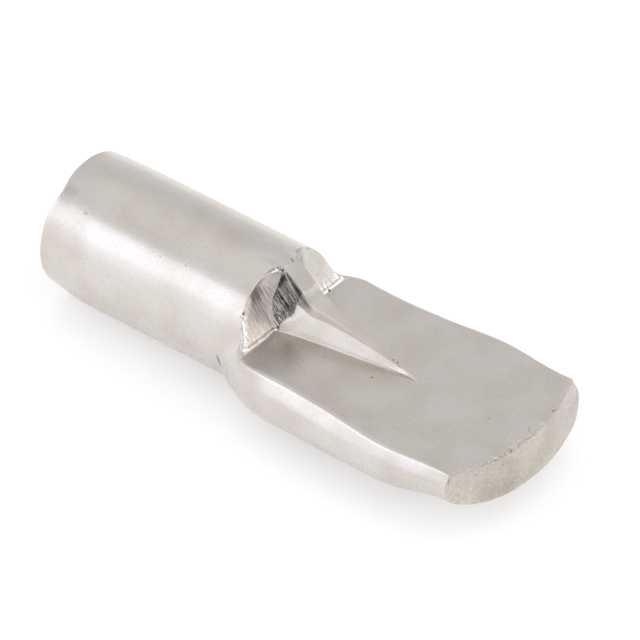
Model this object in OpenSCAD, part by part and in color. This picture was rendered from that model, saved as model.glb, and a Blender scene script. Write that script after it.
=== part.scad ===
// Shelf support pin of the spoon kind: a round shank that pushes into a 5 mm hole in a
// cabinet side, and a flattened blade that carries the shelf. It is one piece of steel,
// cold-formed from wire: the blade is squeezed flat, and a punch leaves two pockets behind
// it with a stiffening rib between them.
//
// Axes: X runs along the shank's axis towards the blade's tip, Z is up, and the origin is
// on the axis at the shoulder, where the blade begins to flare out of the shank. The rib
// is on the upper side. In use the pin is turned over, so the plain side carries the shelf.

/* [Shank] */
// Diameter of the shank
shank_d = 5; // [4.9:0.05:5.1]
// Length of the shank, from its rear end to the shoulder
shank_len = 7.65; // [6:0.05:10]
// Length of the lead-in taper at the rear end
lead_len = 1.6; // [0.5:0.1:2.5]
// How far the taper brings the radius down
lead_drop = 0.1; // [0.05:0.01:0.3]

/* [Blade] */
// Length of the blade, from the shoulder to the middle of the tip
blade_len = 10.7; // [9.5:0.1:12]
// Thickness of the blade, from its flat top to its flat underside
blade_t = 1.87; // [1.7:0.01:2]
// Height of the blade's flat top above the shank's axis
blade_top = 0.32; // [0.2:0.01:0.45]
// Widest part of the blade at its neck, just past the pockets' wall
neck_w = 6.7; // [6.5:0.05:6.9]
// Widest part of the blade at its belly
belly_w = 7.4; // [7.1:0.05:7.6]
// Distance from the shoulder to the belly
belly_x = 7.2; // [6:0.1:8]
// Width of the blade at its two tip corners
tip_w = 7.1; // [6.8:0.05:7.2]
// Radius of the curved tip, seen from above
tip_r = 8.4; // [7:0.1:12]
// Rounding of the blade's flanks above their widest line
flank_upper_r = 1; // [0.9:0.05:1.1]
// Rounding of the blade's flanks where they turn under
flank_lower_r = 0.75; // [0.6:0.05:0.9]
// The same rounding at the tip
tip_lower_r = 1.25; // [0.9:0.05:1.4]

/* [Pockets] */
// Distance from the shoulder to the foot of the pockets' wall
foot_x = 1.2; // [1:0.05:1.5]
// Angle by which the wall leans back from upright
wall_lean = 11; // [5:1:15]
// Radius between the wall and the blade's top
wall_fillet = 0.46; // [0.3:0.02:0.6]

/* [Rib] */
// Distance from the shoulder to where the rib runs out
rib_end = 6.2; // [5:0.1:7]
// Distance from the shoulder to where the rib's crest leaves the shank
ramp_start = 0.35; // [0.2:0.05:0.5]
// How fast the steep upper ramp of the crest bends down
ramp_bend = 0.36; // [0.3:0.01:0.42]
// Height of the crest above the blade where the long ramp begins
ramp_foot_h = 1.18; // [1:0.02:1.3]
// Width of the crest where it leaves the shank
crest_w = 0.84; // [0.6:0.02:1]
// Share of the rib's height at which its flank changes slope
knee_share = 0.6; // [0.5:0.05:0.7]
// Slope of the rib's flank above the knee, from upright
upper_draft = 6; // [3:1:9]
// Slope of the rib's flank below the knee, from upright
lower_draft = 23; // [18:1:27]

/* [Hidden] */
$fn = 96;

plated_steel = [0.82, 0.8, 0.76];
shank_r = shank_d / 2;
under_z = blade_top - blade_t;

// Stretches over which the shank's round section turns into the blade's: its lower half
// first, as a straight flare from the shoulder, and its upper half just behind the pockets
low_flare = [0, 1.8];
high_flare = [0.6, 1.8];
// Stretch over which the flanks' lower rounding tightens, and the one where it opens again
tighten = [0, 2.6];
open_up = [4.2, 10];
// Stretch over which the underside steps up from the shank to the blade
step_up = [0.5, 3];
// Height at which the blade's flanks are widest
widest_z = -0.35;
// Stretch before the tip over which the blade's width no longer changes
tip_hold = 1;
// How far a shape runs on inside another, so that they join in one solid
lap = 0.05;
// How far the round neck runs on past the shoulder, ending inside the blade, and how much it
// draws in on the way, so that the true round of the shank ends at the shoulder
neck_reach = foot_x + 0.5;
neck_drop = 0.04;
// How far the rib's crest lies below the shank's top where it leaves it
crest_sink = 0.015;
// How far the cutting shapes reach past the steel
clear = 3;
// Height that the rib still has at its very end
rib_end_h = 0.02;
// Steps along each corner of the blade's section, and along the blade
corner_steps = 7;
flare_step = 0.2;
blade_step = 0.7;
rib_step = 0.3;

function mix(a, b, t) = a + (b - a) * t;

// How far x is along a stretch, from 0 at its start to 1 at its end, straight or smooth
function along(x, stretch) = max(0, min(1, (x - stretch[0]) / (stretch[1] - stretch[0])));
function smooth(x, stretch) = let (t = along(x, stretch)) t * t * (3 - 2 * t);

// Half the blade's width at x, past the flare
function body_half(x) =
    x < belly_x ? mix(neck_w, belly_w, smooth(x, [low_flare[1], belly_x])) / 2
                : mix(belly_w, tip_w, smooth(x, [belly_x, blade_len - tip_hold])) / 2;

// Height of the underside at x
function floor_z(x) = mix(-shank_r - lap, under_z, smooth(x, step_up));

// One corner of a section: an arc about (y, z), from angle a0 and a quarter turn on
function corner(y, z, r, a0) =
    [for (i = [0 : corner_steps]) let (a = a0 + 90 * i / corner_steps) [y + r * cos(a), z + r * sin(a)]];

// The blade's closed outline at x, in Y and Z: round at the shoulder, then a D whose top
// is cut flat later. Two arcs about high_c round it above, and two of low_r round it below.
function section(x) = let (
        inner_r = shank_r - lap,
        high_w = mix(inner_r, body_half(x), smooth(x, high_flare)),
        low_w = mix(inner_r, body_half(x), along(x, low_flare)),
        high_r = mix(inner_r - lap, flank_upper_r, smooth(x, high_flare)),
        high_c = mix(lap, widest_z, smooth(x, high_flare)),
        low = min(inner_r, lap - floor_z(x)),
        tight_r = mix(inner_r - lap, flank_lower_r, along(x, tighten)),
        low_r = min(mix(tight_r, tip_lower_r, smooth(x, open_up)), low + high_c - lap / 2))
    concat(corner(high_w - high_r, high_c, high_r, 0), corner(high_r - high_w, high_c, high_r, 90),
           corner(low_r - low_w, low_r - low, low_r, 180), corner(low_w - low_r, low_r - low, low_r, 270));

// Solid through a row of sections, all with the same number of points. Each section is
// a list of points in Y and Z, anticlockwise as seen from the tip.
module loft(stations, sections) {
    n = len(sections[0]);
    last = len(stations) - 1;
    points = [for (k = [0 : last]) for (p = sections[k]) [stations[k], p[0], p[1]]];
    sides = [for (k = [0 : last - 1]) for (i = [0 : n - 1]) let (j = (i + 1) % n)
        each [[k * n + i, (k + 1) * n + j, k * n + j], [k * n + i, (k + 1) * n + i, (k + 1) * n + j]]];
    ends = [[for (i = [0 : n - 1]) i], [for (i = [n - 1 : -1 : 0]) last * n + i]];
    polyhedron(points, concat(sides, ends), convexity = 4);
}

// Shape drawn in X and Z, pushed through the pin's whole width
module across(width) {
    rotate([90, 0, 0]) linear_extrude(width, center = true, convexity = 4) children();
}

// Round shank, with the lead-in taper at its rear end and the neck that it goes over into
module shank() {
    rotate([0, 90, 0]) {
        translate([0, 0, lead_len - shank_len]) cylinder(h = shank_len - lead_len, r = shank_r);
        translate([0, 0, -shank_len]) cylinder(h = lead_len, r1 = shank_r - lead_drop, r2 = shank_r);
        cylinder(h = neck_reach, r1 = shank_r, r2 = shank_r - neck_drop);
    }
}

// Space below the blade, with the smooth step up from the shank's lowest line
module under_space() {
    steps = [for (x = [step_up[0] : flare_step : step_up[1]]) [x, floor_z(x)]];
    across(shank_d * 2) polygon(concat(
        [[step_up[0], -shank_r - clear]], steps,
        [[step_up[1], under_z], [blade_len + clear, under_z], [blade_len + clear, -shank_r - clear]]));
}

// Flattened blade, from inside the shank to its curved tip
module blade() {
    stations = concat([for (x = [-flare_step : flare_step : tighten[1]]) x],
                      [for (x = [tighten[1] + flare_step : blade_step : blade_len + blade_step]) x]);
    intersection() {
        loft(stations, [for (x = stations) section(x)]);
        translate([blade_len - tip_r, 0, -clear]) cylinder(h = 2 * clear, r = tip_r);
    }
}

// Space above the blade and in front of the pockets' leaning wall
module pocket_space() {
    corner_x = foot_x - wall_fillet * tan((90 - wall_lean) / 2);
    height = shank_r + clear - blade_top;
    arc_z = blade_top + wall_fillet;
    across(shank_d * 2) difference() {
        polygon([[corner_x, blade_top], [blade_len + clear, blade_top],
                 [blade_len + clear, blade_top + height],
                 [corner_x - height * tan(wall_lean), blade_top + height]]);
        difference() {
            polygon([[corner_x - lap, blade_top - lap], [foot_x, blade_top - lap], [foot_x, blade_top],
                     [foot_x - wall_fillet * cos(wall_lean), arc_z - wall_fillet * sin(wall_lean)]]);
            translate([foot_x, arc_z]) circle(wall_fillet);
        }
    }
}

// Height of the rib's crest at x: a steep bend off the shank, then a long straight ramp
function crest_z(x) = let (
        start_z = shank_r - crest_sink,
        bend_x = ramp_start + sqrt((start_z - blade_top - ramp_foot_h) / ramp_bend),
        steep = start_z - ramp_bend * pow(x - ramp_start, 2),
        ramp = blade_top + ramp_foot_h * (rib_end - x) / (rib_end - bend_x))
    x < bend_x ? steep : ramp;

// The rib's outline at x, in Y and Z, with a foot sunk into the blade
function rib_section(x) = let (
        h = max(crest_z(x) - blade_top, rib_end_h),
        knee_h = h * knee_share,
        top_y = crest_w / 2 * (rib_end + lap - x) / (rib_end + lap - ramp_start),
        knee_y = top_y + (h - knee_h) * tan(upper_draft),
        base_y = knee_y + knee_h * tan(lower_draft),
        crown = top_y * top_y / shank_d)
    [[base_y, blade_top - lap], [base_y, blade_top], [knee_y, blade_top + knee_h],
     [top_y, blade_top + h - crown], [0, blade_top + h], [-top_y, blade_top + h - crown],
     [-knee_y, blade_top + knee_h], [-base_y, blade_top], [-base_y, blade_top - lap]];

// Stiffening rib between the two pockets, from inside the shank down to the blade's top
module rib() {
    stations = concat([for (x = [0 : rib_step : rib_end - rib_step]) x], [rib_end]);
    loft(stations, [for (x = stations) rib_section(x)]);
}

module shelf_pin() {
    color(plated_steel) {
        difference() {
            union() {
                shank();
                blade();
            }
            pocket_space();
            under_space();
        }
        rib();
    }
}

shelf_pin();
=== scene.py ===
"""Shelf support pin of the spoon kind, cold-formed from steel wire and nickel plated, on a white table.

The pin is one piece. Its smooth skin is a cage of rings that are extruded from one end to the other,
fitted so that the subdivided surface passes through the sizes given here. A ragged burr is raised
along its cropped tip. Grain, waves, streaks, specks and dark marks are left to its materials, and
so is painted shade in hollows, in a crease and in the pocket.
"""

import logging
from bisect import bisect_right
from collections.abc import Callable
from dataclasses import dataclass, field
from enum import IntEnum
from math import cos, exp, hypot, pi, radians, sin, sqrt, tan

import bmesh
import bpy
from mathutils import Matrix, Vector, noise
from mathutils.kdtree import KDTree

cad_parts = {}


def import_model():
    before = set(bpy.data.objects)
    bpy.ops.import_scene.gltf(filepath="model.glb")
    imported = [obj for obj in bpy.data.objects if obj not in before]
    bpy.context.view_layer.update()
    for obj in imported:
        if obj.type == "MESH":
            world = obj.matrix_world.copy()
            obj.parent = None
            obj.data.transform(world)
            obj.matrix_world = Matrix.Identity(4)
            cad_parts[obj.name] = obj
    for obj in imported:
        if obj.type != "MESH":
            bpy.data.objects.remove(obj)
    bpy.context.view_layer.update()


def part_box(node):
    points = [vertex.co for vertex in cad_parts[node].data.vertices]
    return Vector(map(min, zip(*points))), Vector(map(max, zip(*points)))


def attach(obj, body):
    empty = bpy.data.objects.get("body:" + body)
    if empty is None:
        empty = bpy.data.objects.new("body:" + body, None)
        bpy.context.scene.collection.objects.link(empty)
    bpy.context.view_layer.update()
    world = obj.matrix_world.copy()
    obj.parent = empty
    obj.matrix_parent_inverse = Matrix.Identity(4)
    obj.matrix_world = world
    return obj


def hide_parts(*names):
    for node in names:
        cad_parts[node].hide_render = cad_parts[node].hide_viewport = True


LOG = logging.getLogger("shelf_pin")

MM = 0.001
NODE = "shelf_pin"
# Middle of the pin as the camera sees it, in millimetres
MIDDLE = Vector((1.770, 0.578, 0.174))

# Point, direction or colour as three plain numbers
Place = tuple[float, float, float]
Tree = bpy.types.NodeTree
Socket = bpy.types.NodeSocket


def clamp(value: float) -> float:
    """Value held between 0 and 1."""
    return max(0.0, min(1.0, value))


def mix(a: float, b: float, share: float) -> float:
    """Value that lies the given share of the way from a to b."""
    return a + (b - a) * share


def linear_colour(code: str) -> tuple[float, float, float, float]:
    """Turn an sRGB hex value into the linear colour that shaders take.

    Args:
        code: Six hex digits, such as "c8b090".

    Returns:
        Red, green, blue and an alpha of 1.
    """
    channels = [int(code[i:i + 2], 16) / 255 for i in (0, 2, 4)]
    linear = [c / 12.92 if c <= 0.04045 else ((c + 0.055) / 1.055) ** 2.4 for c in channels]
    return (linear[0], linear[1], linear[2], 1.0)


@dataclass(frozen=True)
class Curve:
    """Smooth curve through a few knots, which never overshoots them."""

    knots: tuple[tuple[float, float], ...]

    def slope(self, i: int) -> float:
        """Slope of the curve at one knot.

        Args:
            i: Index of the knot.

        Returns:
            Harmonic mean of the two neighbouring slopes, or 0 at a crest, a dip or an end.
        """
        if not 0 < i < len(self.knots) - 1:
            return 0.0
        (x0, y0), (x1, y1), (x2, y2) = self.knots[i - 1:i + 2]
        before, after = (y1 - y0) / (x1 - x0), (y2 - y1) / (x2 - x1)
        return 0.0 if before * after <= 0 else 2 * before * after / (before + after)

    def at(self, x: float) -> float:
        """Value of the curve at x.

        Args:
            x: Place along the curve. Beyond its ends the curve is level.

        Returns:
            Value of the cubic between the two knots on either side of x.
        """
        places = [knot[0] for knot in self.knots]
        i = min(max(bisect_right(places, x) - 1, 0), len(places) - 2)
        (x0, y0), (x1, y1) = self.knots[i:i + 2]
        width = x1 - x0
        t = clamp((x - x0) / width)
        rise = self.slope(i) * width * t * (1 - t) ** 2 - self.slope(i + 1) * width * t * t * (1 - t)
        return mix(y0, y1, t * t * (3 - 2 * t)) + rise


class Column(IntEnum):
    """Lines of the cage that run the pin's whole length, from the crest down one side to the keel."""

    CREST = 0
    CREST_EDGE = 1
    KNEE = 2
    FLANK_TOP = 3
    FLANK_UPPER = 4
    FLANK_LOWER = 5
    FLANK_BOTTOM = 6
    RIB_FOOT = 7
    FLOOR_INNER = 8
    FLOOR_MIDDLE = 9
    FLOOR_OUTER = 10
    TOP_EDGE = 11
    SLANT = 12
    WIDEST = 13
    SIDE = 14
    CORNER = 15
    UNDER_OUTER = 16
    UNDER_MIDDLE = 17
    UNDER_INNER = 18
    KEEL = 19


class Zone(IntEnum):
    """Parts of the skin that were made in different ways, in the order of the material slots."""

    DRAWN = 0
    COINED = 1
    SHEARED = 2
    CROPPED = 3


class Side(IntEnum):
    """The two sides of the pin, by the sign of Y."""

    NEAR = -1
    FAR = 1


@dataclass(frozen=True)
class Flank:
    """Sizes of one side of the blade, as curves along X."""

    # Half-width of the flat top, half-width at the widest line, distance from the axis down to
    # the underside, and radius of the lower corner
    top: Curve
    widest: Curve
    depth: Curve
    lower_r: Curve


NEAR_FLANK = Flank(
    top=Curve(((1.2, 2.93), (1.32, 3.02), (1.75, 3.08), (2.6, 3.05), (3.4, 3.05), (4.2, 3.1), (5.1, 3.17),
               (6.0, 3.3), (7.2, 3.42), (8.0, 3.38), (8.7, 3.3), (9.5, 3.26), (9.95, 3.29))),
    widest=Curve(((1.2, 3.2), (1.7, 3.35), (2.6, 3.35), (4.2, 3.44), (6.0, 3.6), (7.2, 3.68), (8.4, 3.6),
                  (9.5, 3.46), (9.95, 3.42))),
    depth=Curve(((0.45, 2.5), (1.15, 2.3), (1.7, 2.0), (2.6, 1.75), (4.2, 1.62), (7.2, 1.52), (10.0, 1.46))),
    lower_r=Curve(((1.8, 1.25), (2.6, 0.95), (4.2, 0.85), (7.2, 1.05), (9.95, 1.1))),
)
FAR_FLANK = Flank(
    top=NEAR_FLANK.top,
    widest=Curve(((1.2, 3.2), (1.7, 3.35), (2.6, 3.35), (4.2, 3.44), (6.0, 3.6), (7.2, 3.68), (8.4, 3.6),
                  (9.5, 3.5), (9.95, 3.5))),
    depth=Curve(((0.45, 2.5), (1.15, 2.3), (1.7, 2.0), (2.6, 1.75), (4.2, 1.62), (7.2, 1.55), (10.0, 1.55))),
    lower_r=Curve(((1.8, 1.0), (2.6, 0.75), (4.2, 0.8), (7.2, 0.9), (9.0, 0.8), (9.95, 0.7))),
)


@dataclass
class PinForm:
    """Sizes of the pin's skin in millimetres, and the points of its cage.

    The frame is the pin's own: X runs from the shoulder to the tip, Z is up on the rib's side.
    """

    rear_x: float
    tip_x: float
    shank_r: float
    flanks: dict[Side, Flank] = field(default_factory=lambda: {Side.NEAR: NEAR_FLANK, Side.FAR: FAR_FLANK})
    # Height of the blade's flat top, and place of the foot of the pockets' wall
    top_z: float = 0.32
    foot_x: float = 1.2
    # Half-width at which the pockets' wall meets the rib and the top edge, at the wall's foot
    foot_inner: float = 0.91
    foot_outer: float = 2.93
    # Place of the pockets' wall along X for each height: it leans back, and is hollow at its foot
    wall: Curve = Curve(((0.32, 1.2), (0.335, 1.18), (0.4, 1.12), (0.47, 1.075), (0.7, 0.957), (1.0, 0.83),
                         (1.35, 0.722), (1.72, 0.62), (1.95, 0.555), (2.45, 0.53)))
    # Where the rib runs out and where its crest leaves the shank, how fast the crest's steep upper
    # ramp bends down, and its height above the blade where the long ramp begins
    rib_end: float = 6.2
    ramp_start: float = 0.35
    ramp_bend: float = 0.36
    ramp_foot_h: float = 1.18
    # Half-width of the rib's crest along X
    crest_at: Curve = Curve(((0.35, 0.4), (0.9, 0.335), (1.4, 0.345), (1.95, 0.362), (2.7, 0.272),
                             (4.0, 0.165), (6.2, 0.015), (6.4, 0.0)))
    # Share of the rib's height at which its flank changes slope, its rise along the pin and its
    # most, and the flank's slopes from upright above and below it, in degrees
    knee_share: float = 0.57
    knee_rise: float = 0.09
    knee_most: float = 0.9
    upper_draft: float = 5.0
    lower_draft: float = 23.0
    # Radius of the curved tip, and the place from which the rows bend more and more to follow it
    tip_r: float = 7.4
    bow_start: float = 6.6
    # Where the blade's own sections begin, where the flare has fully reached them, and how fast it
    # leaves the shank
    blade_start: float = 1.7
    flare_end: float = 2.5
    flare_ease: float = 1.6
    # Height of the blade's widest line, and how far out and down the slanted column lies on the
    # way from the top edge to it
    widest_z: float = -0.36
    slant_out: float = 0.78
    slant_down: float = 0.59
    # Least height of the widest line above the middle of the lower corner's arc, and the turn of
    # each column on that arc, in degrees
    widest_gap: float = 0.12
    arc_turns: tuple[float, ...] = (-14, -50, -86)
    # Stretch over which the near side's lower half wears round, and the height that it turns about
    worn_start: float = 7.4
    worn_end: float = 9.8
    worn_z: float = -0.43
    # Turn at which the worn half begins, in degrees, and how far it lies inside the widest line
    worn_turn: float = 11.0
    worn_inset: float = 0.03
    # Stretch over which the columns turn about the axis, and the elevation of each column, seen
    # along the axis, before it on the round shank and after it on the pockets' rim
    twist_start: float = -0.5
    twist_end: float = 0.3
    shank_angles: tuple[float, ...] = (90, 83.5, 79, 75, 71, 67, 62, 57, 46, 35, 24, 11.5,
                                       -2, -16, -30, -44, -57, -68, -79, -90)
    rim_angles: tuple[float, ...] = (90, 81.2, 79.4, 76.5, 73.5, 70, 66, 61, 49, 37, 25, 11.5,
                                     -2, -16, -30, -44, -57, -68, -79, -90)
    # Place of the pockets' rim along X for each elevation
    rim: Curve = Curve(((3, 0.86), (11.5, 0.79), (24, 0.7), (35, 0.6), (45.5, 0.53), (57.5, 0.535),
                        (66, 0.56), (71, 0.585), (76.5, 0.65), (78, 0.69), (80.6, 0.82)))
    # Place at which each column below the top edge leaves the round shank
    flare_starts: tuple[float, ...] = (0.35, -0.05, -0.13, -0.15, -0.12, 0.05, 0.3, 0.45)
    # Share of the top's half-width at which each column down to the top edge meets the tip
    tip_shares: tuple[float, ...] = (0.0, 0.18, 0.34, 0.46, 0.57, 0.67, 0.75, 0.83, 0.89, 0.94, 0.975, 1.0)
    # Stretch before the tip over which those columns no longer spread
    spread_hold: float = 0.8
    # How far the rows have come down the pockets' wall, from its rim to its foot
    wall_steps: tuple[float, ...] = (0.0, 0.06, 0.2, 0.4, 0.58, 0.74, 0.86, 0.94, 1.0)

    def on_shank(self, column: int, x: float, radius: float) -> Vector:
        """Point of a column on a ring about the shank's axis.

        Args:
            column: Column of the cage.
            x: Place of the ring along the pin.
            radius: Radius of the ring.

        Returns:
            The point, on the side of positive Y.
        """
        twist = clamp((x - self.twist_start) / (self.twist_end - self.twist_start))
        angle = radians(mix(self.shank_angles[column], self.rim_angles[column], twist))
        return Vector((x, radius * cos(angle), radius * sin(angle)))

    def rim_point(self, column: int) -> Vector:
        """Point of a column on the pockets' rim, on the side of positive Y."""
        return self.on_shank(column, self.rim.at(self.rim_angles[column]), self.shank_r)

    def crest_z(self, x: float) -> float:
        """Height of the rib's crest at x: a steep bend off the shank, then a long straight ramp.

        Args:
            x: Place along the pin.

        Returns:
            Height above the shank's axis.
        """
        bend_x = self.ramp_start + sqrt((self.shank_r - self.top_z - self.ramp_foot_h) / self.ramp_bend)
        if x < bend_x:
            return self.shank_r - self.ramp_bend * max(0.0, x - self.ramp_start) ** 2
        return self.top_z + self.ramp_foot_h * clamp((self.rib_end - x) / (self.rib_end - bend_x))

    def rib_point(self, column: int, x: float) -> Vector:
        """Point of one of the rib's columns at x.

        Args:
            column: A column from CREST to RIB_FOOT.
            x: Place along the pin.

        Returns:
            The point, on the side of positive Y.
        """
        height = self.crest_z(x) - self.top_z
        knee_h = height * min(self.knee_most, self.knee_share + self.knee_rise * max(0.0, x - self.foot_x))
        crest_y = self.crest_at.at(x)
        knee_y = crest_y + (height - knee_h) * tan(radians(self.upper_draft))
        foot_y = knee_y + knee_h * tan(radians(self.lower_draft))
        crown = crest_y ** 2 / (2 * self.shank_r)
        knee = Vector((x, knee_y, self.top_z + knee_h))
        foot = Vector((x, foot_y, self.top_z))
        if column == Column.CREST:
            return Vector((x, 0, self.top_z + height))
        if column == Column.CREST_EDGE:
            return Vector((x, crest_y, self.top_z + height - crown))
        return knee.lerp(foot, (column - Column.KNEE) / (Column.RIB_FOOT - Column.KNEE))

    def wall_point(self, column: int, share: float) -> Vector:
        """Point on the pockets' wall.

        Args:
            column: A column from RIB_FOOT to FLOOR_OUTER.
            share: How far down the wall the point is, from its rim to its foot.

        Returns:
            The point, on the side of positive Y.
        """
        rim = self.rim_point(column)
        across = (column - Column.RIB_FOOT) / (Column.TOP_EDGE - Column.RIB_FOOT)
        foot_y = mix(self.foot_inner, self.foot_outer, across)
        steps = 60
        heights = [mix(rim.z, self.top_z, (k / steps) ** 0.8) for k in range(steps + 1)]
        places = [(self.wall.at(z), z) for z in heights]
        runs = [0.0]
        for (x0, z0), (x1, z1) in zip(places, places[1:]):
            runs.append(runs[-1] + hypot(x1 - x0, z1 - z0))
        x, z = places[min(bisect_right(runs, share * runs[-1]), steps)] if share else places[0]
        return Vector((x + (rim.x - places[0][0]) * (1 - share) ** 4, mix(rim.y, foot_y, share), z))

    def blade_point(self, column: int, x: float, side: Side) -> Vector:
        """Point of a column from the rib's foot down on the blade's own section at x.

        Args:
            column: A column from RIB_FOOT to KEEL.
            x: Place along the pin.
            side: Side of the pin.

        Returns:
            The point, on the side of positive Y.
        """
        flank = self.flanks[side]
        top, widest, depth = flank.top.at(x), flank.widest.at(x), flank.depth.at(x)
        lower_r = flank.lower_r.at(x)
        flat = widest - lower_r
        arc_z = lower_r - depth
        if column <= Column.TOP_EDGE:
            return Vector((x, self.spread(column, x, top), self.top_z))
        widest_z = max(self.widest_z, arc_z + self.widest_gap)
        if column == Column.SLANT:
            return Vector((x, mix(top, widest, self.slant_out), mix(self.top_z, widest_z, self.slant_down)))
        if column == Column.WIDEST:
            return Vector((x, widest, widest_z))
        if column <= Column.UNDER_OUTER:
            turn = radians(self.arc_turns[column - Column.SIDE])
            return Vector((x, flat + lower_r * cos(turn), arc_z + lower_r * sin(turn)))
        inner = (Column.KEEL - column) / (Column.KEEL - Column.UNDER_OUTER)
        return Vector((x, flat * inner, -depth))

    def worn_point(self, column: int, x: float, plain: Vector) -> Vector:
        """Point of the near side's lower half, which wears from a rounded box to half an ellipse at the tip.

        Args:
            column: A column from SIDE to KEEL.
            x: Place along the pin.
            plain: The column's point on the rounded box.

        Returns:
            The point, on the side of positive Y.
        """
        turn = radians(mix(self.worn_turn, 90, (column - Column.SIDE) / (Column.KEEL - Column.SIDE)))
        near = self.flanks[Side.NEAR]
        half, depth = near.widest.at(x) - self.worn_inset, near.depth.at(x) + self.worn_z
        share = clamp((x - self.worn_start) / (self.worn_end - self.worn_start))
        worn = Vector((x, half * cos(turn), self.worn_z - depth * sin(turn)))
        return plain.lerp(worn, share * share * (3 - 2 * share))

    def spread(self, column: int, x: float, top: float) -> float:
        """Half-width of a column of the upper side at x. Past the rib's end the columns fan out.

        Args:
            column: A column from CREST to TOP_EDGE.
            x: Place along the pin.
            top: Half-width of the blade's top at x.

        Returns:
            Distance from the pin's middle plane.
        """
        along_rib = min(x, self.rib_end)
        beside = clamp((column - Column.RIB_FOOT) / (Column.TOP_EDGE - Column.RIB_FOOT))
        inner = min(column, Column.RIB_FOOT)
        foot = max(self.rib_point(inner, along_rib).y, 0.02 * inner)
        past = clamp((x - self.rib_end) / (self.tip_x - self.rib_end - self.spread_hold))
        return mix(mix(foot, top, beside), top * self.tip_shares[column], past)

    def flare_point(self, column: int, x: float, side: Side) -> Vector:
        """Point of a column below the top edge, on the flare from the shank or on the blade.

        Args:
            column: A column from SLANT to KEEL.
            x: Place along the pin, past the shoulder.
            side: Side of the pin.

        Returns:
            The point, on the side of positive Y.
        """
        start = self.flare_starts[column - Column.SLANT]
        if x >= self.flare_end:
            point = self.blade_point(column, x, side)
            worn = side == Side.NEAR and column >= Column.SIDE
            return self.worn_point(column, x, point) if worn else point
        round_end = self.on_shank(column, x, self.shank_r)
        if x <= start:
            return round_end
        share = 1 - (1 - (x - start) / (self.flare_end - start)) ** self.flare_ease
        point = round_end.lerp(self.blade_point(column, max(x, self.blade_start), side), share)
        if column >= Column.UNDER_MIDDLE:
            bottom = -sqrt(max(0.0, self.shank_r ** 2 - point.y ** 2))
            point.z = max(bottom, -self.flanks[side].depth.at(x))
        return Vector((x, point.y, point.z))

    def bowed(self, point: Vector, x: float) -> Vector:
        """Move a point of the blade back where its row bends to follow the curved tip.

        Args:
            point: The point on a straight row.
            x: Place of the row on the blade's middle line.

        Returns:
            The point on the bent row.
        """
        bow = clamp((x - self.bow_start) / (self.tip_x - self.bow_start))
        sag = self.tip_r - sqrt(max(0.0, self.tip_r ** 2 - point.y ** 2))
        return Vector((point.x - bow * sag, point.y, point.z))


@dataclass(frozen=True)
class Turn:
    """Hollow turn of one ring between the pockets' wall and the rib."""

    # Where it reaches the rib's smooth upper flank, the point that it bends towards, and how
    # tightly it keeps to that point
    end: Place
    bend: Place
    tightness: float


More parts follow.
